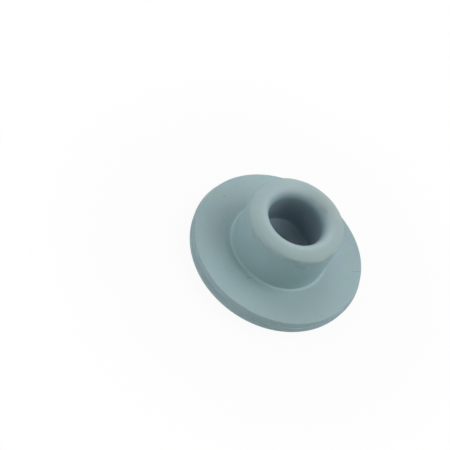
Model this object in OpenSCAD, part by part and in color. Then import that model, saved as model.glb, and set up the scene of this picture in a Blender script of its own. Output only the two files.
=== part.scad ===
// Rubber stopper for a small glass vial: a round flange and a hollow plug,
// moulded in one piece on one axis.
// Millimetres, +Z up. The stopper stands on its flat outer face, which is the
// top when it is fitted in a vial, and its plug points up. The origin is the
// centre of the outer face.

/* [Flange] */
// Diameter of the flange, across the parting line on its rim
flange_d = 13; // [12:0.1:14]
// Thickness of the flange, from the outer face to the sealing face
flange_t = 1.62; // [1.5:0.02:2]
// Height of the parting line above the outer face
parting_z = 1.15; // [1:0.05:1.3]
// Radius between the rim and the outer face
shoulder_r = 0.85; // [0.4:0.05:0.9]
// Draft of the rim on the outer side of the parting line, in degrees
outer_draft = 3; // [0:1:6]
// Radius between the rim and the sealing face
sealing_edge_r = 0.06; // [0.02:0.02:0.14]
// Draft of the rim on the plug side of the parting line, in degrees
plug_side_draft = 14; // [0:1:20]
// How far the trimmed flash on the parting line stands out
flash_proud = 0.02; // [0.01:0.01:0.04]

/* [Plug] */
// Diameter of the plug's straight wall
plug_d = 7.15; // [7:0.05:7.3]
// Height of the whole stopper
height = 5.42; // [5.2:0.02:8]
// Radius of the bead at the root of the plug
root_bead_r = 0.14; // [0.06:0.01:0.16]
// Step from the straight wall in to the lip
lip_step = 0.02; // [0.01:0.01:0.05]
// Radius of the lip's crown, from its outer edge to its crest
crown_r = 1.25; // [1.2:0.05:2]

/* [Hollow] */
// Diameter of the hollow
hollow_d = 4.1; // [3.9:0.05:4.4]
// Depth of the hollow below the crest of the lip
hollow_depth = 3.22; // [2:0.02:3.4]
// Radius from the crest of the lip into the hollow
mouth_r = 0.7; // [0.55:0.05:0.8]
// Radius round the hollow's floor
floor_edge_r = 0.15; // [0.05:0.05:0.5]

/* [Target ring] */
// Diameter of the ring on the outer face that shows where a needle goes in
ring_d = 3.2; // [2:0.1:6]
// Radius of the half-round groove that draws the ring
ring_groove_r = 0.05; // [0.03:0.01:0.08]

/* [Look] */
// Colour of the rubber
rubber_colour = "#9fb4b6";

/* [Hidden] */

flange_r = flange_d / 2;
plug_r = plug_d / 2;
hollow_r = hollow_d / 2;
crest_r = hollow_r + mouth_r;
lip_z = height - crown_r + sqrt(crown_r ^ 2 - (plug_r - lip_step - crest_r) ^ 2);

$fn = 96;

// Square with its corner at the origin and one round corner opposite it
module rounded_block(w, h, r) {
    square([w, h - r]);
    square([w - r, h]);
    translate([w - r, h - r])
        circle(r = r);
}

// Half of the flange's section, from the parting line (y = 0) out to one face
// (y = h). The rim leans in by the draft and rounds into the face.
module flange_half_section(h, draft, edge_r) {
    arc_y = h - edge_r;
    arc_x = flange_r - (edge_r + arc_y * sin(draft)) / cos(draft);
    polygon([
        [0, 0],
        [flange_r, 0],
        [arc_x + edge_r * cos(draft), arc_y + edge_r * sin(draft)],
        [arc_x, h],
        [0, h]
    ]);
    intersection() {
        translate([arc_x, arc_y])
            circle(r = edge_r);
        translate([arc_x, arc_y])
            square(edge_r);
    }
}

module flange_section() {
    translate([0, parting_z]) {
        flange_half_section(flange_t - parting_z, plug_side_draft, sealing_edge_r);
        mirror([0, 1])
            flange_half_section(parting_z, outer_draft, shoulder_r);
    }
    translate([flange_r, parting_z])
        circle(r = flash_proud);
}

// The plug, solid, with its straight wall, the bead at its root and its crown
module plug_section() {
    square([plug_r, lip_z]);
    translate([plug_r, flange_t])
        circle(r = root_bead_r);
    square([crest_r, height]);
    intersection() {
        translate([crest_r, height - crown_r])
            circle(r = crown_r);
        square([plug_r - lip_step, height]);
    }
}

// The hollow, with its floor rounded and its mouth flared
module hollow_section() {
    translate([0, height])
        mirror([0, 1])
            rounded_block(hollow_r, hollow_depth, floor_edge_r);
    difference() {
        translate([0, height - mouth_r])
            square([crest_r, mouth_r]);
        translate([crest_r, height - mouth_r])
            circle(r = mouth_r);
    }
}

module ring_groove_section() {
    translate([ring_d / 2, 0])
        circle(r = ring_groove_r);
}

module stopper() {
    color(rubber_colour)
        rotate_extrude()
            difference() {
                union() {
                    flange_section();
                    plug_section();
                }
                hollow_section();
                ring_groove_section();
            }
}

stopper();
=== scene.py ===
import math
from collections import namedtuple

import bmesh
import bpy
from bpy.props import FloatProperty, FloatVectorProperty, IntProperty, PointerProperty
from mathutils import Matrix, Vector, noise


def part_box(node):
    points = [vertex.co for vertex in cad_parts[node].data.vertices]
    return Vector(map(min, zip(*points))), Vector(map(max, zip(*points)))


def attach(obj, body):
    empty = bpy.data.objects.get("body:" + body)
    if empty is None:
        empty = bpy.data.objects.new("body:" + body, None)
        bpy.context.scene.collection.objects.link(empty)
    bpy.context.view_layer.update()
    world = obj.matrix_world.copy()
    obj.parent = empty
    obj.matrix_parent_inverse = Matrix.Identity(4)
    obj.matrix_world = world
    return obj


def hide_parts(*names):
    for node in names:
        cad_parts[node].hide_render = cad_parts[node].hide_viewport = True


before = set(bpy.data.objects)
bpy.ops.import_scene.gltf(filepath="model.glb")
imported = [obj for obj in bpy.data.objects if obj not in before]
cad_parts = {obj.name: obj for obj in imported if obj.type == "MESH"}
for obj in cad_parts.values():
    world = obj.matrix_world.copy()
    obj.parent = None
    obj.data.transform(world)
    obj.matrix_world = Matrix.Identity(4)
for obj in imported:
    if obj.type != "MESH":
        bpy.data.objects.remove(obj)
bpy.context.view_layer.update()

# The looks of a moulded rubber stopper, laid out as an add-on. Lengths are in metres, in the frame of the
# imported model: +Z up, the origin at the centre of the flat outer face on which the stopper stands.

bl_info = {
    "name": "Rubber Stopper",
    "version": (1, 0, 0),
    "blender": (4, 5, 0),
    "location": "View3D > Sidebar > Stopper",
    "description": "Turns a flanged rubber stopper, gives it its moulded skin and sets up its stage",
    "category": "Object",
}

MM = 0.001
CAD_NODE = "stopper"
LOWEST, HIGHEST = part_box(CAD_NODE)
# How far the trimmed flash stands out past the rim, in millimetres
FLASH_MM = 0.02
QUARTER = math.pi / 2
WHITE = (1, 1, 1, 1)
# Edges that bend more than this are shaded sharp, in degrees
SHARP_EDGE = 35
# The turned mesh has this many times more steps within this many degrees of a flaw that has depth
FINER_STEPS = 4
FINER_REACH = 3
# The share of the step between wall and crown that is gone where the moulding is softest
STEP_LOST = 0.95
# A flaw's colour reaches this many times further than its dent
FLAW_HALO = 1.3
# How fine the ragged edge of a flaw's colour is, per metre
RAGGED_SCALE = 9000

# A place on the stopper: radius and height in millimetres, and the angle round the axis in degrees
Place = namedtuple("Place", "radius angle height")
# A small flaw along a line from start to end: its width and depth in millimetres, and how dark it is,
# from 0 to 1. A flaw without depth is only a mark in the colour.
Flaw = namedtuple("Flaw", "name start end width depth shade")
FLAWS = (
    Flaw("rim_cut", Place(5.75, 19.8, 1.62), Place(6.42, 22.1, 1.62), 0.05, 0.03, 0.5),
    Flaw("root_nick", Place(4.02, -99, 1.62), Place(3.72, -95.5, 1.68), 0.07, 0.03, 0.5),
    Flaw("lip_foot_left", Place(3.56, -127, 4.80), Place(3.57, -117.5, 4.58), 0.11, 0.02, 0.22),
    Flaw("lip_foot_front", Place(3.57, -76, 4.90), Place(3.57, -62, 4.97), 0.15, 0.01, 0.16),
    Flaw("wall_smudge", Place(3.575, -60, 4.55), Place(3.575, -50, 4.3), 0.22, 0, 0.18),
    Flaw("lip_smudge", Place(3.55, -26, 5.08), Place(3.5, -16, 5.16), 0.16, 0, 0.22),
    Flaw("mouth_smudge", Place(2.43, 61, 5.34), Place(2.40, 54, 5.33), 0.19, 0, 0.21),
    Flaw("mouth_shade", Place(2.29, 66, 5.25), Place(2.22, 46, 5.2), 0.24, 0, 0.13),
    Flaw("mouth_grime", Place(2.28, 91, 5.25), Place(2.3, 84, 5.26), 0.15, 0, 0.1),
    Flaw("face_speck", Place(5.47, 169, 1.62), Place(5.40, 167, 1.62), 0.07, 0, 0.3),
)
# A lamp: its direction from the stopper, in degrees round from +X and up from the floor, and its share of
# the level at which a colour renders as it is written
Lamp = namedtuple("Lamp", "name angle elevation share")
LAMPS = (
    Lamp("key", 18, 50, 0.77),
    Lamp("back", 130, 40, 0.50),
    Lamp("front", 225, 20, 0.48),
)


# --------------------------------------------------------------------
# Settings
# --------------------------------------------------------------------

def length(name, description, millimetres):
    """A property for a length, with its default in millimetres."""
    return FloatProperty(name=name, description=description, default=millimetres * MM,
                         min=0, precision=5, subtype="DISTANCE", unit="LENGTH")


def angle(name, description, degrees):
    """A property for an angle, with its default in degrees."""
    return FloatProperty(name=name, description=description, default=math.radians(degrees),
                         subtype="ANGLE", unit="ROTATION")


def colour(name, description, value):
    """A property for a colour, linear red, green and blue."""
    return FloatVectorProperty(name=name, description=description, default=value,
                               min=0, max=1, subtype="COLOR")


class StopperSizes(bpy.types.PropertyGroup):
    """The section that is turned about the axis"""

    flange_diameter: length("Flange diameter", "Across the parting line on the rim, under its flash",
                            2 * (HIGHEST.x / MM - FLASH_MM))
    height: length("Height", "From the outer face to the crest of the lip", HIGHEST.z / MM)
    flange_thickness: length("Flange thickness", "From the outer face to the sealing face", 1.62)
    parting_height: length("Parting line", "Height of the parting line above the outer face", 1.15)
    shoulder_radius: length("Shoulder radius", "Between the rim and the outer face", 0.85)
    outer_draft: angle("Outer draft", "Lean of the rim on the outer side of the parting line", 3)
    sealing_edge_radius: length("Sealing edge radius", "Between the rim and the sealing face", 0.06)
    plug_side_draft: angle("Plug side draft", "Lean of the rim on the plug side of the parting line", 14)
    flash_proud: length("Flash", "How far the trimmed flash on the parting line stands out", FLASH_MM)
    plug_diameter: length("Plug diameter", "Across the plug's straight wall", 7.15)
    root_bead_radius: length("Root bead radius", "Of the bead round the root of the plug", 0.14)
    lip_step: length("Lip step", "From the straight wall in to the crown of the lip", 0.02)
    crown_radius: length("Crown radius", "Of the lip's crown, from its outer edge to its crest", 1.25)
    hollow_diameter: length("Hollow diameter", "Across the hollow's straight wall", 4.1)
    hollow_depth: length("Hollow depth", "From the crest of the lip to the floor of the hollow", 3.22)
    mouth_radius: length("Mouth radius", "From the crest of the lip into the hollow", 0.7)
    floor_edge_radius: length("Floor edge radius", "Round the floor of the hollow", 0.15)
    ring_diameter: length("Ring diameter", "Of the needle ring on the outer face", 3.2)
    ring_groove_radius: length("Ring groove radius", "Of the half-round groove of the needle ring", 0.05)
    turns: IntProperty(name="Turns", description="Steps round the axis", default=320, min=24, max=720)


class SkinRelief(bpy.types.PropertyGroup):
    """Small uneven places that moulding and trimming leave in the skin"""

    wave_depth: length("Wave depth", "Of the slow waves in the skin", 0.012)
    wave_spacing: length("Wave spacing", "From one slow wave to the next", 2.6)
    wave_start: length("Wave start", "Height above the outer face at which the waves are full", 0.5)
    flash_spacing: length("Flash spacing", "From one high place of the trimmed flash to the next", 0.9)
    lean: length("Lean", "How far the crest of the lip lies off the axis, because the plug leans", 0.036)
    lean_angle: angle("Lean angle", "Side to which the plug leans, round from +X", 84)
    trim_excess: length("Trim excess", "How much further out the rim is where least was trimmed off", 0.055)
    trim_angle: angle("Trim angle", "Side where least was trimmed off the rim, round from +X", 34)
    trim_spread: angle("Trim spread", "From there to where the rim has its proper radius", 34)
    hollow_bulge: length("Hollow bulge", "How much further out the hollow's wall is where it bulges", 0.056)
    bulge_angle: angle("Bulge angle", "Side on which the hollow's wall bulges, round from +X", -162)
    bulge_spread: angle("Bulge spread", "From there to where the hollow has its proper radius", 50)
    crisp_bead: length("Crisp bead", "Radius of the root bead where it is sharpest", 0.09)
    crisp_bead_angle: angle("Crisp bead angle", "Side on which the bead is sharpest, round from +X", -58)
    crisp_bead_spread: angle("Crisp bead spread", "From there to where the bead has its proper radius", 62)
    root_excess: length("Root excess", "How far the root stands out where the bead is sharpest", 0.034)
    root_dip: length("Root dip", "How far the root lies in where the bead is roundest", 0.08)
    soft_bead: length("Soft bead", "Radius of the root bead where it is roundest", 0.17)
    soft_bead_angle: angle("Soft bead angle", "Side on which the bead is roundest, round from +X", -114)
    soft_bead_spread: angle("Soft bead spread", "From there to where the bead has its proper radius", 24)
    crisp_foot: length("Crisp foot", "Radius between wall and crown, where the moulding is crisp", 0.05)
    soft_foot: length("Soft foot", "Radius between wall and crown, where the moulding is softest", 0.46)
    soft_foot_angle: angle("Soft foot angle", "Side on which that radius is largest, round from +X", -115)
    soft_foot_spread: angle("Soft foot spread", "From there to where the crown's foot is crisp", 90)


class RubberLook(bpy.types.PropertyGroup):
    """Colour and surface of the rubber, with the painted light and shade on it"""

    # The chalky colour below is pale bloom and also painted light, on skin that faces up and on the foot of
    # the wall; the clean colour is skin without bloom and also the painted shade of the plug's walls.
    chalky_and_lit_colour: colour("Chalky colour", "Of skin with a pale bloom", (0.356, 0.487, 0.520))
    clean_and_shaded_colour: colour("Clean colour", "Of skin without bloom, as on the walls", (0.292, 0.455, 0.500))
    # The hollow and floor colours below are painted shade in the hollow and on its floor.
    hollow_shade_colour: colour("Hollow colour", "Of the deep skin in the hollow", (0.207, 0.273, 0.314))
    floor_shade_colour: colour("Floor colour", "Of the floor of the hollow", (0.277, 0.376, 0.432))
    # The worn colour below is pale dust and worn skin, and also painted light on the rim.
    worn_and_lit_colour: colour("Worn colour", "Of the pale skin on ridges", (0.455, 0.575, 0.597))
    # The bead colour below is a painted highlight along the root bead, and painted light on the wall above
    # it.
    bead_light_colour: colour("Bead colour", "Of the rubbed line along the root bead", (0.515, 0.712, 0.750))
    # The corner colour below is stains and streaks, and also painted shade in the corner round the plug's
    # root, on the shoulder and on the rim.
    stain_and_shade_colour: colour("Corner colour", "Of the stain in corners and streaks", (0.050, 0.200, 0.220))
    # The flaw colour below is dirt in flecks, specks and flaws, and also painted shade in the crease under
    # the lip, on the rim and on the hollow's floor.
    dirt_and_shade_colour: colour("Flaw colour", "Of the dirt that sits in cuts and creases", (0.090, 0.120, 0.140))
    smudge_colour: colour("Smudge colour", "Of the handled patches on the lip", (0.390, 0.475, 0.442))
    dusty_colour: colour("Dusty colour", "Of the warmer skin on one side of the lip", (0.465, 0.505, 0.510))
    green_cast: colour("Green cast", "By which greenish patches multiply the colour", (0.98, 1.0, 0.95))
    blue_cast: colour("Blue cast", "By which bluish patches multiply the colour", (1.0, 0.985, 1.0))
    # The teal cast below tints the painted light on one side of the plug.
    teal_cast: colour("Teal cast", "By which the bloomed side multiplies the colour", (0.966, 1.0, 0.98))
    patch_spacing: length("Patch spacing", "From one soft patch of colour to the next", 1.6)
    fleck_spacing: length("Fleck spacing", "From one faint dark fleck to the next", 0.14)
    grain_spacing: length("Grain spacing", "From one grain of the mould's finish to the next", 0.045)
    grain_depth: length("Grain depth", "Of the mould's finish", 0.0034)
    streak_length: length("Streak length", "Of the faint streaks round the rim", 1.1)
    speck_spacing: length("Speck spacing", "From one speck of dust to the next", 0.6)
    speck_size: length("Speck size", "Across a speck of dust", 0.045)


class StageSettings(bpy.types.PropertyGroup):
    """Camera, lamps and floor"""

    camera_elevation: angle("Camera elevation", "Angle of the camera above the floor", 49.96)
    camera_roll: angle("Camera roll", "How far the camera is turned about its own line of sight", 31.4)
    camera_distance: length("Camera distance", "From the centre of the outer face", 116.3)
    camera_aim: FloatVectorProperty(
        name="Camera aim", description="Point on the floor at the middle of the picture",
        default=(-4.16 * MM, 0.24 * MM, 0), subtype="TRANSLATION", unit="LENGTH")
    camera_lens: FloatProperty(
        name="Lens", description="Focal length on a 36 mm sensor, in millimetres", default=128)
    floor_width: length("Floor width", "Side of the square floor", 1200)
    shadow_start: length("Shadow start", "From the axis to where the floor's shadow begins to fade", 7)
    shadow_end: length("Shadow end", "From the axis to where the floor is plain white", 22)
    lamp_distance: length("Lamp distance", "From the stopper to each lamp", 300)
    lamp_width: length("Lamp width", "Side of each square lamp", 300)


# --------------------------------------------------------------------
# Section of the stopper
# --------------------------------------------------------------------

def line(start, end, count):
    """Points (radius, height) in count equal steps from start up to but without end."""
    return [tuple(a + (b - a) * i / count for a, b in zip(start, end)) for i in range(count)]


def arc(centre, radius, first, last, count):
    """Points round centre in count equal steps from angle first up to but without angle last."""
    angles = (first + (last - first) * i / count for i in range(count))
    return [(centre[0] + radius * math.cos(a), centre[1] + radius * math.sin(a)) for a in angles]


# The sizes that moulding and trimming leave different round the axis: the radius at the parting line, of
# the hollow, at the plug's root, of the bead there and of the crown's foot, and the step in to the crown
LocalSizes = namedtuple("LocalSizes", "rim_r hollow_r root_r bead_r foot_r step")


def rim_arc_centre(rim_r, height, draft, radius):
    """Where the arc between the rim and a face has its centre: (radius, distance from the parting line).
    height is the distance from the parting line to that face."""
    y = height - radius
    x = rim_r - (radius + y * math.sin(draft)) / math.cos(draft)
    return x, y


def flange_section(size, local):
    """The flange's part of the outline, from the centre of the outer face round the rim to the plug."""
    rim_r = local.rim_r
    ring_r, groove = size.ring_diameter / 2, size.ring_groove_radius
    thick, parting, flash = size.flange_thickness, size.parting_height, size.flash_proud
    shoulder, edge = size.shoulder_radius, size.sealing_edge_radius
    shoulder_x, shoulder_y = rim_arc_centre(rim_r, parting, size.outer_draft, shoulder)
    edge_x, edge_y = rim_arc_centre(rim_r, thick - parting, size.plug_side_draft, edge)
    shoulder_centre = (shoulder_x, parting - shoulder_y)
    edge_arc = arc((edge_x, parting + edge_y), edge, size.plug_side_draft, QUARTER, count=6)
    shoulder_top = (shoulder_x + shoulder * math.cos(size.outer_draft),
                    shoulder_centre[1] - shoulder * math.sin(size.outer_draft))
    flash_first, flash_last = -QUARTER - size.outer_draft, QUARTER + size.plug_side_draft
    rim_low, rim_high = ((rim_r + flash * math.cos(a), parting + flash * math.sin(a))
                         for a in (flash_first, flash_last))
    return [
        ("outer_face", line((0, 0), (ring_r - groove, 0), count=8)),
        ("ring", arc((ring_r, 0), groove, math.pi, 0, count=8)),
        ("outer_face", line((ring_r + groove, 0), (shoulder_x, 0), count=20)),
        ("shoulder", arc(shoulder_centre, shoulder, -QUARTER, -size.outer_draft, count=26)),
        ("rim", line(shoulder_top, rim_low, count=7)),
        ("flash", arc((rim_r, parting), flash, flash_first, flash_last, count=6)),
        ("rim", line(rim_high, edge_arc[0], count=8)),
        ("sealing_edge", edge_arc),
        ("sealing_face", line((edge_x, thick), (local.root_r + local.bead_r, thick), count=19)),
    ]


def crest_radius(size):
    """From the axis to the crest of the lip."""
    return size.hollow_diameter / 2 + size.mouth_radius


def lip_foot(size, foot_radius, step):
    """The rounding between the wall and the crown, a step in from the wall: its centre (radius, height) and
    the angle at which it meets the crown's arc."""
    radius = size.plug_diameter / 2 - step - foot_radius
    reach = size.crown_radius - foot_radius
    meet = math.acos((radius - crest_radius(size)) / reach)
    return (radius, size.height - size.crown_radius + reach * math.sin(meet)), meet


def plug_section(size, local):
    """The plug's part of the outline, from its root over the lip to the centre of the hollow's floor."""
    root_r, bead, hollow_r = local.root_r, local.bead_r, local.hollow_r
    plug_r, crest_r, crown = size.plug_diameter / 2, crest_radius(size), size.crown_radius
    thick, top, floor_z = size.flange_thickness, size.height, size.height - size.hollow_depth
    mouth, edge = crest_r - hollow_r, size.floor_edge_radius
    foot, meet = lip_foot(size, local.foot_r, local.step)
    return [
        ("root_bead", arc((root_r, thick), bead, 0, QUARTER, count=9)),
        ("wall", line((root_r, thick + bead), (plug_r, foot[1]), count=38)),
        ("lip_step", line((plug_r, foot[1]), (plug_r - local.step, foot[1]), count=1)),
        ("crown", arc(foot, local.foot_r, 0, meet, count=8)),
        ("crown", arc((crest_r, top - crown), crown, meet, QUARTER, count=12)),
        ("mouth", arc((crest_r, top - mouth), mouth, QUARTER, math.pi, count=22)),
        ("hollow", line((hollow_r, top - mouth), (hollow_r, floor_z + edge), count=12)),
        ("hollow", arc((hollow_r - edge, floor_z + edge), edge, 0, -QUARTER, count=6)),
        ("hollow", line((hollow_r - edge, floor_z), (0, floor_z), count=10)),
    ]


# --------------------------------------------------------------------
# Turned mesh
# --------------------------------------------------------------------

def at(place):
    """A place on the stopper as a point, in metres."""
    turn = math.radians(place.angle)
    return Vector((place.radius * math.cos(turn), place.radius * math.sin(turn), place.height)) * MM


def turning_angles(turns):
    """Angles round the axis in radians, closer together beside a flaw that has depth."""
    step = 2 * math.pi / turns
    reach = math.radians(FINER_REACH)
    dents = [math.radians((flaw.start.angle + flaw.end.angle) / 2) for flaw in FLAWS if flaw.depth]
    angles = []
    for i in range(turns):
        here = i * step
        near = any(abs(math.remainder(here - dent, 2 * math.pi)) < reach for dent in dents)
        parts = FINER_STEPS if near else 1
        angles += [here + step * k / parts for k in range(parts)]
    return angles


def outward(points):
    """The direction (radius, height) that the skin faces at each point of the outline."""
    facing = []
    for i in range(len(points)):
        before, after = points[max(i - 1, 0)], points[min(i + 1, len(points) - 1)]
        along = Vector((after[0] - before[0], after[1] - before[1])).normalized()
        facing.append((along.y, -along.x))
    return facing


def skin_offset(part, point, size, relief):
    """How far the skin stands out at a point of the ideal form, in metres."""
    if part == "flash":
        return 0.5 * size.flash_proud * noise.noise(point / relief.flash_spacing)
    wave = 0.5 + 0.5 * noise.noise(point / relief.wave_spacing)
    offset = -relief.wave_depth * wave * min(1, max(0, point.z / relief.wave_start))
    for flaw in FLAWS:
        if flaw.depth:
            start, end = at(flaw.start), at(flaw.end)
            along = max(0, min(1, (point - start).dot(end - start) / (end - start).length_squared))
            away = (point - start.lerp(end, along)).length / (flaw.width * MM)
            offset -= flaw.depth * MM * max(0, 1 - away * away) ** 2
    return offset


def lean_shift(height, size, relief):
    """How far the skin lies off the axis at a height, because the plug leans."""
    share = max(0, (height - size.flange_thickness) / (size.height - size.flange_thickness))
    return Vector((math.cos(relief.lean_angle), math.sin(relief.lean_angle), 0)) * relief.lean * share


def nearness(a, centre, spread):
    """1 where the angle a is at centre, fading to 0 at spread from it."""
    near = max(0, 1 - abs(math.remainder(a - centre, 2 * math.pi)) / spread)
    return near ** 2 * (3 - 2 * near)


def local_sizes(a, size, relief):
    """The sizes at the angle a round the axis. Where the moulding is soft, the crown's foot is rounder and
    nearly all of its step is gone."""
    untrimmed = nearness(a, relief.trim_angle, relief.trim_spread)
    bulging = nearness(a, relief.bulge_angle, relief.bulge_spread)
    crisp_bead = nearness(a, relief.crisp_bead_angle, relief.crisp_bead_spread)
    soft_bead = nearness(a, relief.soft_bead_angle, relief.soft_bead_spread)
    soft_foot = nearness(a, relief.soft_foot_angle, relief.soft_foot_spread)
    bead = size.root_bead_radius
    return LocalSizes(
        rim_r=size.flange_diameter / 2 + relief.trim_excess * untrimmed,
        hollow_r=size.hollow_diameter / 2 + relief.hollow_bulge * bulging,
        root_r=size.plug_diameter / 2 + relief.root_excess * crisp_bead - relief.root_dip * soft_bead,
        bead_r=bead + (relief.crisp_bead - bead) * crisp_bead + (relief.soft_bead - bead) * soft_bead,
        foot_r=relief.crisp_foot + (relief.soft_foot - relief.crisp_foot) * soft_foot,
        step=size.lip_step * (1 - STEP_LOST * soft_foot))


def spoke(a, size, relief):
    """The outline at the angle a round the axis, with the skin's relief on it: the part that each of its
    points begins, and where each point lies."""
    local = local_sizes(a, size, relief)
    outline = flange_section(size, local) + plug_section(size, local)
    parts = [part for part, stretch in outline for _point in stretch]
    points = [point for _part, stretch in outline for point in stretch]
    places = []
    for part, (radius, height), (out, up) in zip(parts, points, outward(points)):
        ideal = Vector((radius * math.cos(a), radius * math.sin(a), height))
        facing = Vector((out * math.cos(a), out * math.sin(a), up))
        places.append(ideal + lean_shift(height, size, relief)
                      + facing * skin_offset(part, ideal, size, relief))
    return parts, places


def turn_section(size, relief, name):
    """A mesh object made by turning the outline about the Z axis, and the part that each of its faces
    belongs to. The outline's first point lies on the axis and its last one beside it."""
    bm = bmesh.new()
    turned = [spoke(a, size, relief) for a in turning_angles(size.turns)]
    parts, first = turned[0]
    face_centre = bm.verts.new(first[0])
    floor_centre = bm.verts.new((0, 0, first[-1].z))
    spokes = [[bm.verts.new(place) for place in places[1:]] for _parts, places in turned]
    for here, there in zip(spokes, spokes[1:] + spokes[:1]):
        bm.faces.new((face_centre, there[0], here[0]))
        for k in range(len(here) - 1):
            bm.faces.new((here[k], there[k], there[k + 1], here[k + 1]))
        bm.faces.new((here[-1], there[-1], floor_centre))
    for face in bm.faces:
        face.smooth = True
    for edge in bm.edges:
        edge.smooth = edge.calc_face_angle(0) < math.radians(SHARP_EDGE)
    mesh = bpy.data.meshes.new(name)
    bm.to_mesh(mesh)
    bm.free()
    piece = bpy.data.objects.new(name, mesh)
    bpy.context.scene.collection.objects.link(piece)
    return piece, parts * len(spokes)


# --------------------------------------------------------------------
# Shader nodes
# --------------------------------------------------------------------

def node(tree, kind, inputs=None, **settings):
    """Adds a node with its settings. An input that is given a socket is linked, any other is set."""
    made = tree.nodes.new(kind)
    for name, value in settings.items():
        setattr(made, name, value)
    for key, value in (inputs or {}).items():
        if isinstance(value, bpy.types.NodeSocket):
            tree.links.new(value, made.inputs[key])
        else:
            made.inputs[key].default_value = value
    return made


def maths(tree, operation, *values, clamp=False):
    """The result of a Math node on one, two or three values."""
    made = node(tree, "ShaderNodeMath", dict(enumerate(values)), operation=operation, use_clamp=clamp)
    return made.outputs[0]


def vector_maths(tree, operation, *values, output="Vector"):
    """The result of a Vector Math node."""
    made = node(tree, "ShaderNodeVectorMath", dict(enumerate(values)), operation=operation)
    return made.outputs[output]


def product(tree, first, *others):
    """Values, multiplied together."""
    for value in others:
        first = maths(tree, "MULTIPLY", first, value)
    return first


def rest(tree, mask):
    """1 where a mask is 0, and 0 where it is 1."""
    return maths(tree, "SUBTRACT", 1, mask)


def mix(tree, factor, first, second, blend="MIX"):
    """Two colours, mixed."""
    made = node(tree, "ShaderNodeMix", {0: factor, 6: first, 7: second}, data_type="RGBA", blend_type=blend)
    return made.outputs[2]


def soft_step(tree, value, low, high):
    """0 up to low and 1 from high, or the other way round where low is the greater."""
    made = node(tree, "ShaderNodeMapRange", {"Value": value, "From Min": low, "From Max": high},
                interpolation_type="SMOOTHSTEP")
    return made.outputs[0]


def opaque(rgb):
    """A colour property as red, green, blue and an alpha of 1."""
    return (*rgb, 1)


def tint(tree, skin, towards, *factors, share=None):
    """The skin's colour, taken towards a colour property by the product of its factors and the share."""
    if share is not None:
        factors = (*factors, share)
    return mix(tree, product(tree, *factors), skin, opaque(towards))


def new_group(name, numbers=(), vectors=(), output="Mask"):
    """An empty shader node group with those inputs. Returns its tree, what its inputs give and where its
    output goes."""
    tree = bpy.data.node_groups.new(name, "ShaderNodeTree")
    for labels, kind in ((vectors, "NodeSocketVector"), (numbers, "NodeSocketFloat")):
        for label in labels:
            tree.interface.new_socket(label, in_out="INPUT", socket_type=kind)
    tree.interface.new_socket(output, in_out="OUTPUT", socket_type="NodeSocketFloat")
    given = tree.nodes.new("NodeGroupInput").outputs
    return tree, given, tree.nodes.new("NodeGroupOutput").inputs[output]


def place_group(tree, group, **values):
    """Places a group in a material with its own values, and gives its output."""
    inputs = {key.capitalize(): value for key, value in values.items()}
    return node(tree, "ShaderNodeGroup", inputs, node_tree=group).outputs[0]


def spot(tree):
    """The place on the object, in metres."""
    return node(tree, "ShaderNodeTexCoord").outputs["Object"]


def along_axis(tree, vector):
    """A vector's share along the stopper's axis: the height of a place, or how far a normal faces up."""
    return node(tree, "ShaderNodeSeparateXYZ", {0: vector}).outputs["Z"]


def soft_noise(tree, scale, detail, place=None, seed=None):
    """Noise of about 0.5 over the object, or over another place's coordinates."""
    inputs = {"Vector": place or spot(tree), "Scale": scale, "Detail": detail}
    if seed is None:
        return node(tree, "ShaderNodeTexNoise", inputs).outputs[0]
    return node(tree, "ShaderNodeTexNoise", {**inputs, "W": seed}, noise_dimensions="4D").outputs[0]


def on_side(tree, groups, angle, spread):
    """The side group's mask, with its angle and spread in degrees."""
    return place_group(tree, groups.side, angle=math.radians(angle), spread=math.radians(spread))


def mottle_group():
    """Soft patches: 0 in one kind and 1 in the other, Spacing apart."""
    tree, given, result = new_group("mottle", ("Spacing", "Seed"))
    patches = soft_noise(tree, maths(tree, "DIVIDE", 1, given["Spacing"]), detail=3, seed=given["Seed"])
    tree.links.new(soft_step(tree, patches, low=0.34, high=0.66), result)
    return tree


def grain_group():
    """The matt finish of the mould as a height: fine grains, a slight orange peel and a few pits."""
    peel_size, pit_size, grain_share = 9, 7, 0.45
    tree, given, result = new_group("mould_grain", ("Spacing", "Pits"), output="Height")
    scale = maths(tree, "DIVIDE", 1, given["Spacing"])
    grains = soft_noise(tree, scale, detail=2)
    peel = soft_noise(tree, maths(tree, "DIVIDE", scale, peel_size), detail=2)
    cells = node(tree, "ShaderNodeTexVoronoi", {"Vector": spot(tree),
                                                "Scale": maths(tree, "DIVIDE", scale, pit_size)})
    pits = product(tree, soft_step(tree, cells.outputs["Distance"], low=0.22, high=0.1), given["Pits"])
    height = maths(tree, "ADD", product(tree, grains, grain_share), product(tree, peel, 1 - grain_share))
    tree.links.new(maths(tree, "SUBTRACT", height, pits), result)
    return tree


def speck_group():
    """Scattered specks: 1 on a speck. Share is how many of the places that could hold one do."""
    smallest = 0.4
    tree, given, result = new_group("specks", ("Spacing", "Size", "Share"))
    scale = maths(tree, "DIVIDE", 1, given["Spacing"])
    cells = node(tree, "ShaderNodeTexVoronoi", {"Vector": spot(tree), "Scale": scale})
    chance = node(tree, "ShaderNodeSeparateColor", {"Color": cells.outputs["Color"]})
    reach = product(tree, given["Size"], scale, maths(tree, "ADD", chance.outputs["Green"], smallest))
    dot = soft_step(tree, maths(tree, "DIVIDE", cells.outputs["Distance"], reach), low=1, high=0.5)
    held = maths(tree, "LESS_THAN", chance.outputs["Red"], given["Share"])
    tree.links.new(product(tree, dot, held), result)
    return tree


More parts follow.
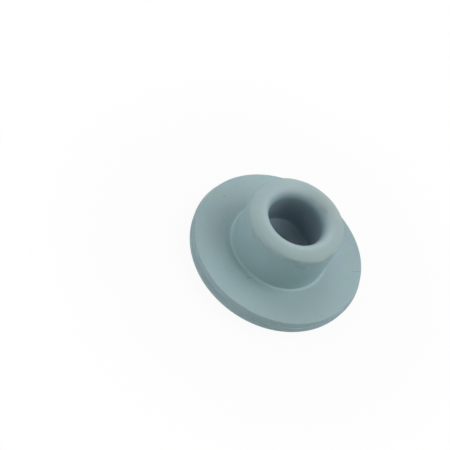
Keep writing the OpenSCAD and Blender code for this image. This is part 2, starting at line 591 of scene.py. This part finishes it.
def ring_group():
    """A line round the axis: 1 on the circle of that Radius and Height, fading to 0 at Width from it."""
    tree, given, result = new_group("ring_line", ("Radius", "Height", "Width"))
    place = node(tree, "ShaderNodeSeparateXYZ", {0: spot(tree)})
    flat = node(tree, "ShaderNodeCombineXYZ", {"X": place.outputs["X"], "Y": place.outputs["Y"]})
    radius = vector_maths(tree, "LENGTH", flat.outputs[0], output="Value")
    out = maths(tree, "SUBTRACT", radius, given["Radius"])
    up = maths(tree, "SUBTRACT", place.outputs["Z"], given["Height"])
    off = node(tree, "ShaderNodeCombineXYZ", {"X": out, "Y": up})
    away = vector_maths(tree, "LENGTH", off.outputs[0], output="Value")
    tree.links.new(soft_step(tree, away, low=given["Width"], high=0), result)
    return tree


def side_group():
    """One side of the stopper: 1 at the Angle round the axis from +X, fading to 0 at Spread from it."""
    tree, given, result = new_group("side", ("Angle", "Spread"))
    place = node(tree, "ShaderNodeSeparateXYZ", {0: spot(tree)})
    here = maths(tree, "ARCTAN2", place.outputs["Y"], place.outputs["X"])
    turn = maths(tree, "SUBTRACT", here, given["Angle"])
    away = maths(tree, "ARCCOSINE", maths(tree, "COSINE", turn))
    tree.links.new(soft_step(tree, away, low=given["Spread"], high=0), result)
    return tree


def flaw_group():
    """A short mark: 1 on the line from Start to End, fading to 0 at about Width from it."""
    tree, given, result = new_group("flaw", ("Width",), vectors=("Start", "End"))
    line_way = vector_maths(tree, "SUBTRACT", given["End"], given["Start"])
    from_start = vector_maths(tree, "SUBTRACT", spot(tree), given["Start"])
    reached = vector_maths(tree, "DOT_PRODUCT", from_start, line_way, output="Value")
    whole = vector_maths(tree, "DOT_PRODUCT", line_way, line_way, output="Value")
    along = maths(tree, "DIVIDE", reached, whole, clamp=True)
    foot = node(tree, "ShaderNodeVectorMath", {0: line_way, "Scale": along}, operation="SCALE").outputs[0]
    away = vector_maths(tree, "DISTANCE", from_start, foot, output="Value")
    ragged = soft_noise(tree, RAGGED_SCALE, detail=1)
    reach = product(tree, given["Width"], maths(tree, "ADD", ragged, 0.5))
    tree.links.new(soft_step(tree, away, low=reach, high=0), result)
    return tree


def bloom_and_light_group():
    """How much pale bloom and painted light the skin has, in patches: painted light as Least on skin that
    faces down and Facing more on skin that faces up. It is whole up to the height Thick, and this fades out
    up to the height Thin, as painted light from the flange on the foot of the wall."""
    unevenness = 0.8
    tree, given, result = new_group("bloom", ("Spacing", "Facing", "Least", "Thick", "Thin"))
    normal = node(tree, "ShaderNodeTexCoord").outputs["Normal"]
    up = soft_step(tree, along_axis(tree, normal), low=-0.2, high=0.9)
    patches = soft_noise(tree, maths(tree, "DIVIDE", 1, given["Spacing"]), detail=4)
    patchy = product(tree, maths(tree, "SUBTRACT", patches, 0.5), unevenness)
    even = maths(tree, "MULTIPLY_ADD", up, given["Facing"], given["Least"])
    low = soft_step(tree, along_axis(tree, spot(tree)), low=given["Thin"], high=given["Thick"])
    tree.links.new(maths(tree, "ADD", maths(tree, "ADD", even, low), patchy, clamp=True), result)
    return tree


Groups = namedtuple("Groups", "mottle grain specks ring side flaw bloom")


def make_groups():
    """Every group that the materials share, each built once."""
    return Groups(mottle_group(), grain_group(), speck_group(), ring_group(), side_group(), flaw_group(),
                  bloom_and_light_group())


# --------------------------------------------------------------------
# Materials
# --------------------------------------------------------------------

def rubber_skin(name, size, look, groups):
    """A new rubber material, and the colour of its skin before any marks."""
    material = bpy.data.materials.new(name)
    material.use_nodes = True
    tree = material.node_tree
    # Painted light: the bloom mask is also paler on skin that faces up and on the foot of the wall near the
    # flange.
    bloom = place_group(tree, groups.bloom, spacing=0.9 * MM, facing=0.8, least=0.1,
                        thick=size.flange_thickness, thin=1.6 * size.flange_thickness)
    # Painted light: one side of the plug is paler and more teal, as if more light fell there.
    painted_light_side = on_side(tree, groups, angle=-115, spread=65)
    extra_painted_light = 0.45
    bloom = maths(tree, "MULTIPLY_ADD", painted_light_side, extra_painted_light, bloom, clamp=True)
    skin = mix(tree, bloom, opaque(look.clean_and_shaded_colour), opaque(look.chalky_and_lit_colour))
    patch = place_group(tree, groups.mottle, spacing=look.patch_spacing, seed=2)
    green_side = on_side(tree, groups, angle=-55, spread=60)
    patch = product(tree, patch, rest(tree, green_side))
    cast = mix(tree, patch, opaque(look.green_cast), opaque(look.blue_cast))
    cast = mix(tree, product(tree, bloom, painted_light_side), cast, opaque(look.teal_cast))
    skin = mix(tree, 1, skin, cast, blend="MULTIPLY")
    flecks = place_group(tree, groups.mottle, spacing=look.fleck_spacing, seed=4)
    return material, tint(tree, skin, look.dirt_and_shade_colour, flecks, share=0.05)


def finish_skin(material, skin, look, groups, grain_depth):
    """Adds the specks, the roughness and the grain, and feeds the shader."""
    tree = material.node_tree
    shader = tree.nodes["Principled BSDF"]
    dust = place_group(tree, groups.specks, spacing=look.speck_spacing, size=look.speck_size, share=0.35)
    skin = tint(tree, skin, look.worn_and_lit_colour, dust, share=0.35)
    dirt = place_group(tree, groups.specks, spacing=1.7 * look.speck_spacing, size=1.2 * look.speck_size,
                       share=0.3)
    skin = tint(tree, skin, look.dirt_and_shade_colour, dirt, share=0.4)
    tree.links.new(skin, shader.inputs["Base Color"])
    gloss = place_group(tree, groups.mottle, spacing=0.6 * look.patch_spacing, seed=7)
    smoothest, uneven = 0.58, 0.1
    tree.links.new(maths(tree, "MULTIPLY_ADD", gloss, uneven, smoothest), shader.inputs["Roughness"])
    height = place_group(tree, groups.grain, spacing=look.grain_spacing, pits=0.3)
    bump = node(tree, "ShaderNodeBump", {"Height": height, "Distance": grain_depth, "Strength": 1})
    tree.links.new(bump.outputs["Normal"], shader.inputs["Normal"])


def add_flaws(tree, skin, names, look, groups):
    """Darkens the skin's colour along the named flaws."""
    for flaw in FLAWS:
        if flaw.name in names:
            mask = place_group(tree, groups.flaw, start=at(flaw.start), end=at(flaw.end),
                               width=flaw.width * MM * FLAW_HALO)
            skin = tint(tree, skin, look.dirt_and_shade_colour, mask, share=flaw.shade)
    return skin


def handle_lip(tree, skin, lip, look, groups):
    """The lip's own colours, as far as its mask goes: handled patches, and a paler and a warmer side."""
    clean_side = on_side(tree, groups, angle=178, spread=55)
    handled = product(tree, lip, rest(tree, clean_side))
    for spacing, seed, share in ((0.8 * MM, 5, 0.35), (0.18 * MM, 9, 0.22)):
        patches = place_group(tree, groups.mottle, spacing=spacing, seed=seed)
        skin = tint(tree, skin, look.smudge_colour, patches, handled, share=share)
    pale_side = on_side(tree, groups, angle=125, spread=55)
    skin = tint(tree, skin, look.worn_and_lit_colour, pale_side, lip, share=0.32)
    dusty_side = on_side(tree, groups, angle=62, spread=72)
    return tint(tree, skin, look.dusty_colour, dusty_side, lip, share=0.34)


def tint_crest(tree, skin, size, look, groups):
    """Paler round the crest of the lip, where it turns in to the hollow. On one side it is darker instead.
    """
    crest_r = crest_radius(size)
    pale = place_group(tree, groups.ring, radius=crest_r - 0.3 * MM, height=size.height, width=0.5 * MM)
    darker_crest_side = on_side(tree, groups, angle=68, spread=65)
    skin = tint(tree, skin, look.worn_and_lit_colour, pale, rest(tree, darker_crest_side), share=0.6)
    dark_crest_ring = place_group(tree, groups.ring, radius=crest_r - 0.15 * MM, height=size.height, width=0.7 * MM)
    return tint(tree, skin, look.dirt_and_shade_colour, dark_crest_ring, darker_crest_side, share=0.2)


def mark_root(tree, skin, size, look, groups):
    """The root of the plug, in painted light and shade: painted light on one side of the wall above its
    bead, painted shade in the corner outside the bead, and a painted highlight along the bead."""
    plug_r, thick, bead = size.plug_diameter / 2, size.flange_thickness, size.root_bead_radius
    height = along_axis(tree, spot(tree))
    near_root = soft_step(tree, height, low=2 * thick, high=thick)
    # Painted light on one side of the wall, just above the root.
    pale_side = on_side(tree, groups, angle=-10, spread=75)
    on_wall = maths(tree, "GREATER_THAN", height, thick + bead / 2)
    skin = tint(tree, skin, look.bead_light_colour, near_root, pale_side, on_wall, share=0.3)
    # Painted shade in the corner outside the bead, on one side.
    corner_shade = place_group(tree, groups.ring, radius=plug_r + 1.9 * bead, height=thick, width=0.5 * MM)
    corner_shade_side = on_side(tree, groups, angle=-130, spread=105)
    skin = tint(tree, skin, look.stain_and_shade_colour, corner_shade, corner_shade_side, share=0.19)
    # Painted highlight along the bead, strongest on one side.
    ridge = place_group(tree, groups.ring, radius=plug_r + 0.94 * bead, height=thick + 0.35 * bead,
                        width=0.7 * bead)
    highlight_side = on_side(tree, groups, angle=-45, spread=80)
    least, more = 0.2, 0.75
    highlight = maths(tree, "MULTIPLY_ADD", highlight_side, more, least)
    return tint(tree, skin, look.bead_light_colour, ridge, highlight)


def moulded_rubber(size, look, groups):
    """The moulded skin of the faces, the plug and the lip."""
    material, skin = rubber_skin("moulded_rubber", size, look, groups)
    tree = material.node_tree
    (foot_r, foot_z), _meet = lip_foot(size, 0, size.lip_step)
    height = along_axis(tree, spot(tree))
    lip = soft_step(tree, height, low=foot_z - 0.4 * MM, high=foot_z + 0.2 * MM)
    skin = handle_lip(tree, skin, lip, look, groups)
    foot = place_group(tree, groups.ring, radius=foot_r, height=foot_z, width=0.4 * MM)
    soft_side = on_side(tree, groups, angle=-125, spread=70)
    skin = tint(tree, skin, look.worn_and_lit_colour, foot, soft_side, share=0.4)
    skin = tint_crest(tree, skin, size, look, groups)
    skin = mark_root(tree, skin, size, look, groups)
    # Painted shadow: a dark line in the crease under the lip, on one side.
    crease_shadow = place_group(tree, groups.ring, radius=size.plug_diameter / 2, height=foot_z, width=0.05 * MM)
    shadow_side = on_side(tree, groups, angle=30, spread=130)
    skin = tint(tree, skin, look.dirt_and_shade_colour, crease_shadow, shadow_side, share=0.3)
    skin = add_flaws(tree, skin, {flaw.name for flaw in FLAWS}, look, groups)
    # Painted shade on the shoulder under the rim, where it faces down.
    shoulder = place_group(tree, groups.ring, radius=size.flange_diameter / 2 - 0.2 * MM, height=0.3 * MM,
                           width=0.55 * MM)
    skin = tint(tree, skin, look.stain_and_shade_colour, shoulder, share=0.3)
    extra_grain = 1.6 * look.grain_depth
    grain_depth = maths(tree, "MULTIPLY_ADD", lip, extra_grain, look.grain_depth)
    finish_skin(material, skin, look, groups, grain_depth)
    return material


def trimmed_rubber(size, look, groups):
    """The rim, where the sheet of mouldings was cut apart: cleaner, with faint streaks that run round it,
    stretches of painted light and painted shade above and below the flash, and a line along the flash that
    is pale, with painted shade over it on one side."""
    material, skin = rubber_skin("trimmed_rubber", size, look, groups)
    tree = material.node_tree
    cleaned, streak_flatness = 0.35, 14
    skin = mix(tree, cleaned, skin, opaque(look.clean_and_shaded_colour))
    flat = vector_maths(tree, "MULTIPLY", spot(tree), (1, 1, streak_flatness))
    streaks = soft_noise(tree, 1 / look.streak_length, detail=2, place=flat)
    streaked = soft_step(tree, streaks, low=0.42, high=0.7)
    skin = tint(tree, skin, look.stain_and_shade_colour, streaked, share=0.18)
    rim_r, parting = size.flange_diameter / 2, size.parting_height
    above = soft_step(tree, along_axis(tree, spot(tree)), low=parting, high=parting + 0.1 * MM)
    below = rest(tree, above)
    # Painted light and shade on the rim: paler stretches on its lit sides, darker ones on its shaded sides.
    for band, angle_round, spread, share, towards in (
            (above, -106, 42, 0.28, look.worn_and_lit_colour), (above, -166, 32, 0.1, look.stain_and_shade_colour),
            (below, -122, 30, 0.12, look.dirt_and_shade_colour), (below, -64, 34, 0.22, look.worn_and_lit_colour)):
        stretch = on_side(tree, groups, angle_round, spread)
        skin = tint(tree, skin, towards, band, stretch, share=share)
    flash = place_group(tree, groups.ring, radius=rim_r, height=parting, width=0.05 * MM)
    skin = tint(tree, skin, look.worn_and_lit_colour, flash, share=0.12)
    # Painted shade over the flash line on one side.
    flash_shade_side = on_side(tree, groups, angle=-72, spread=30)
    flash_shade = place_group(tree, groups.ring, radius=rim_r, height=parting, width=0.14 * MM)
    skin = tint(tree, skin, look.stain_and_shade_colour, flash_shade, flash_shade_side, share=0.22)
    skin = add_flaws(tree, skin, {"rim_cut"}, look, groups)
    finish_skin(material, skin, look, groups, grain_depth=2 * look.grain_depth)
    return material


def hollow_rubber(size, look, groups):
    """The mouth and the hollow: from the lip's colours to a darker one that is painted shade deep in the
    hollow, with painted light high on one side of the wall near the mouth. The floor's painted shade is
    paler, but darker in the middle, and on one side there is painted shade in the corner round it."""
    material, skin = rubber_skin("hollow_rubber", size, look, groups)
    tree = material.node_tree
    height, mouth_z = along_axis(tree, spot(tree)), size.height - size.mouth_radius
    lip = soft_step(tree, height, low=mouth_z + 0.35 * MM, high=size.height)
    skin = handle_lip(tree, skin, lip, look, groups)
    skin = tint_crest(tree, skin, size, look, groups)
    # Painted shade: the hollow darkens below the mouth.
    deep = soft_step(tree, height, low=mouth_z + 0.56 * MM, high=mouth_z - 0.6 * MM)
    skin = tint(tree, skin, look.hollow_shade_colour, deep)
    # Painted light high on one side of the wall, near the mouth.
    upper = soft_step(tree, height, low=mouth_z - 1.1 * MM, high=mouth_z - 0.3 * MM)
    pale_side = on_side(tree, groups, angle=120, spread=50)
    skin = tint(tree, skin, look.chalky_and_lit_colour, upper, pale_side, share=0.18)
    skin = add_flaws(tree, skin, {"mouth_smudge", "mouth_shade", "mouth_grime"}, look, groups)
    hollow_r, floor_z = size.hollow_diameter / 2, size.height - size.hollow_depth
    # Painted shade on the floor, paler than on the wall and darker in its middle.
    on_floor = soft_step(tree, height, low=floor_z + 2 * size.floor_edge_radius, high=floor_z)
    skin = tint(tree, skin, look.floor_shade_colour, on_floor)
    middle = place_group(tree, groups.ring, radius=0, height=floor_z, width=1.07 * hollow_r)
    skin = tint(tree, skin, look.dirt_and_shade_colour, middle, on_floor, share=0.9)
    # Painted shade in the corner round the floor, on one side.
    corner_shade = place_group(tree, groups.ring, radius=hollow_r - 0.04 * MM, height=floor_z + 0.04 * MM,
                         width=0.19 * MM)
    floor_shade_side = on_side(tree, groups, angle=52, spread=68)
    skin = tint(tree, skin, look.dirt_and_shade_colour, corner_shade, floor_shade_side, share=0.85)
    finish_skin(material, skin, look, groups, grain_depth=0.6 * look.grain_depth)
    return material


# The functions that make the materials, and the one for each part that isn't of moulded rubber
RUBBERS = (moulded_rubber, trimmed_rubber, hollow_rubber)
RUBBER_OF_PART = {"rim": trimmed_rubber, "flash": trimmed_rubber, "mouth": hollow_rubber,
                  "hollow": hollow_rubber}


# --------------------------------------------------------------------
# Operators
# --------------------------------------------------------------------

class STOPPER_OT_body(bpy.types.Operator):
    """Turn the stopper's body and give it its rubber skin"""

    bl_idname = "stopper.body"
    bl_label = "Body"

    def execute(self, context):
        size, look = context.scene.stopper_sizes, context.scene.rubber_look
        body, face_parts = turn_section(size, context.scene.skin_relief, "moulded_body")
        groups = make_groups()
        for rubber in RUBBERS:
            body.data.materials.append(rubber(size, look, groups))
        for face, part in zip(body.data.polygons, face_parts):
            face.material_index = RUBBERS.index(RUBBER_OF_PART.get(part, moulded_rubber))
        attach(body, "root")
        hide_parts(CAD_NODE)
        return {"FINISHED"}


class STOPPER_OT_stage(bpy.types.Operator):
    """Lay the floor, hang the lamps and set up the camera"""

    bl_idname = "stopper.stage"
    bl_label = "Stage"

    def execute(self, context):
        stage = context.scene.stage_settings
        lay_floor(stage)
        lay_surround()
        for lamp in LAMPS:
            hang_lamp(lamp, stage)
        set_camera(stage)
        context.scene.view_settings.view_transform = "Standard"
        return {"FINISHED"}


def seen_directly(tree):
    """1 for rays that come straight from the camera, or by way of a gloss or a glass, and 0 for others."""
    rays = node(tree, "ShaderNodeLightPath").outputs
    straight = maths(tree, "MAXIMUM", rays["Is Camera Ray"], rays["Is Glossy Ray"])
    return maths(tree, "MAXIMUM", straight, rays["Is Transmission Ray"])


def lay_floor(stage):
    """A white floor that keeps a soft shadow of the stopper, and is plain white further out."""
    half = stage.floor_width / 2
    corners = [(-half, -half, 0), (half, -half, 0), (half, half, 0), (-half, half, 0)]
    mesh = bpy.data.meshes.new("floor")
    mesh.from_pydata(corners, [], [(0, 1, 2, 3)])
    floor = bpy.data.objects.new("floor", mesh)
    bpy.context.scene.collection.objects.link(floor)
    material = bpy.data.materials.new("white_floor")
    material.use_nodes = True
    tree = material.node_tree
    tree.nodes.remove(tree.nodes["Principled BSDF"])
    paper = node(tree, "ShaderNodeBsdfDiffuse", {"Color": opaque((0.8, 0.8, 0.8))})
    glow = node(tree, "ShaderNodeEmission", {"Color": WHITE, "Strength": 1})
    away = vector_maths(tree, "LENGTH", spot(tree), output="Value")
    plain = soft_step(tree, away, low=stage.shadow_start, high=stage.shadow_end)
    shadow_share = 0.06
    lifted = maths(tree, "MULTIPLY_ADD", plain, shadow_share, 1 - shadow_share)
    share = product(tree, seen_directly(tree), lifted)
    blend = node(tree, "ShaderNodeMixShader", {0: share, 1: paper.outputs[0], 2: glow.outputs[0]})
    tree.links.new(blend.outputs[0], tree.nodes["Material Output"].inputs["Surface"])
    mesh.materials.append(material)


def lay_surround():
    """A surround that is white to look at and gives no light of its own."""
    world = bpy.data.worlds.new("surround")
    world.use_nodes = True
    tree = world.node_tree
    background = tree.nodes["Background"]
    background.inputs["Color"].default_value = WHITE
    tree.links.new(seen_directly(tree), background.inputs["Strength"])
    bpy.context.scene.world = world


def hang_lamp(lamp, stage):
    """A square soft lamp that faces the stopper. With a share of 1, a surface that faces the lamp renders
    as its colour is written."""
    data = bpy.data.lights.new(lamp.name, "AREA")
    data.size = stage.lamp_width
    data.energy = lamp.share * math.pi ** 2 * stage.lamp_distance ** 2
    turn, rise = math.radians(lamp.angle), math.radians(lamp.elevation)
    direction = Vector((math.cos(rise) * math.cos(turn), math.cos(rise) * math.sin(turn), math.sin(rise)))
    made = bpy.data.objects.new(lamp.name, data)
    made.location = direction * stage.lamp_distance
    made.rotation_euler = direction.to_track_quat("Z", "Y").to_euler()
    made.visible_camera = False
    bpy.context.scene.collection.objects.link(made)


def set_camera(stage):
    """The camera, above the front of the stopper and turned about its line of sight."""
    data = bpy.data.cameras.new("camera")
    data.lens = stage.camera_lens
    data.clip_start = stage.camera_distance / 100
    data.clip_end = stage.camera_distance * 100
    camera = bpy.data.objects.new("camera", data)
    place = Vector((0, -math.cos(stage.camera_elevation), math.sin(stage.camera_elevation)))
    place *= stage.camera_distance
    sight = Vector(stage.camera_aim) - place
    facing = sight.to_track_quat("-Z", "Y").to_matrix().to_4x4()
    camera.matrix_world = Matrix.Translation(place) @ facing @ Matrix.Rotation(stage.camera_roll, 4, "Z")
    bpy.context.scene.collection.objects.link(camera)
    bpy.context.scene.camera = camera


class STOPPER_PT_panel(bpy.types.Panel):
    """The stopper's settings and operators"""

    bl_label = "Rubber Stopper"
    bl_idname = "STOPPER_PT_panel"
    bl_space_type = "VIEW_3D"
    bl_region_type = "UI"
    bl_category = "Stopper"

    def draw(self, context):
        for settings in SETTINGS:
            box = self.layout.box()
            group = getattr(context.scene, settings)
            for name in group.__annotations__:
                box.prop(group, name)
        for operator in (STOPPER_OT_body, STOPPER_OT_stage):
            self.layout.operator(operator.bl_idname)


# Where the scene keeps each group of settings
SETTINGS = {"stopper_sizes": StopperSizes, "skin_relief": SkinRelief, "rubber_look": RubberLook,
            "stage_settings": StageSettings}
CLASSES = (*SETTINGS.values(), STOPPER_OT_body, STOPPER_OT_stage, STOPPER_PT_panel)


def register():
    for cls in CLASSES:
        bpy.utils.register_class(cls)
    for name, cls in SETTINGS.items():
        setattr(bpy.types.Scene, name, PointerProperty(type=cls))


def unregister():
    for name in SETTINGS:
        delattr(bpy.types.Scene, name)
    for cls in reversed(CLASSES):
        bpy.utils.unregister_class(cls)


def main():
    register()
    bpy.ops.stopper.body()
    bpy.ops.stopper.stage()


if __name__ == "__main__":
    main()
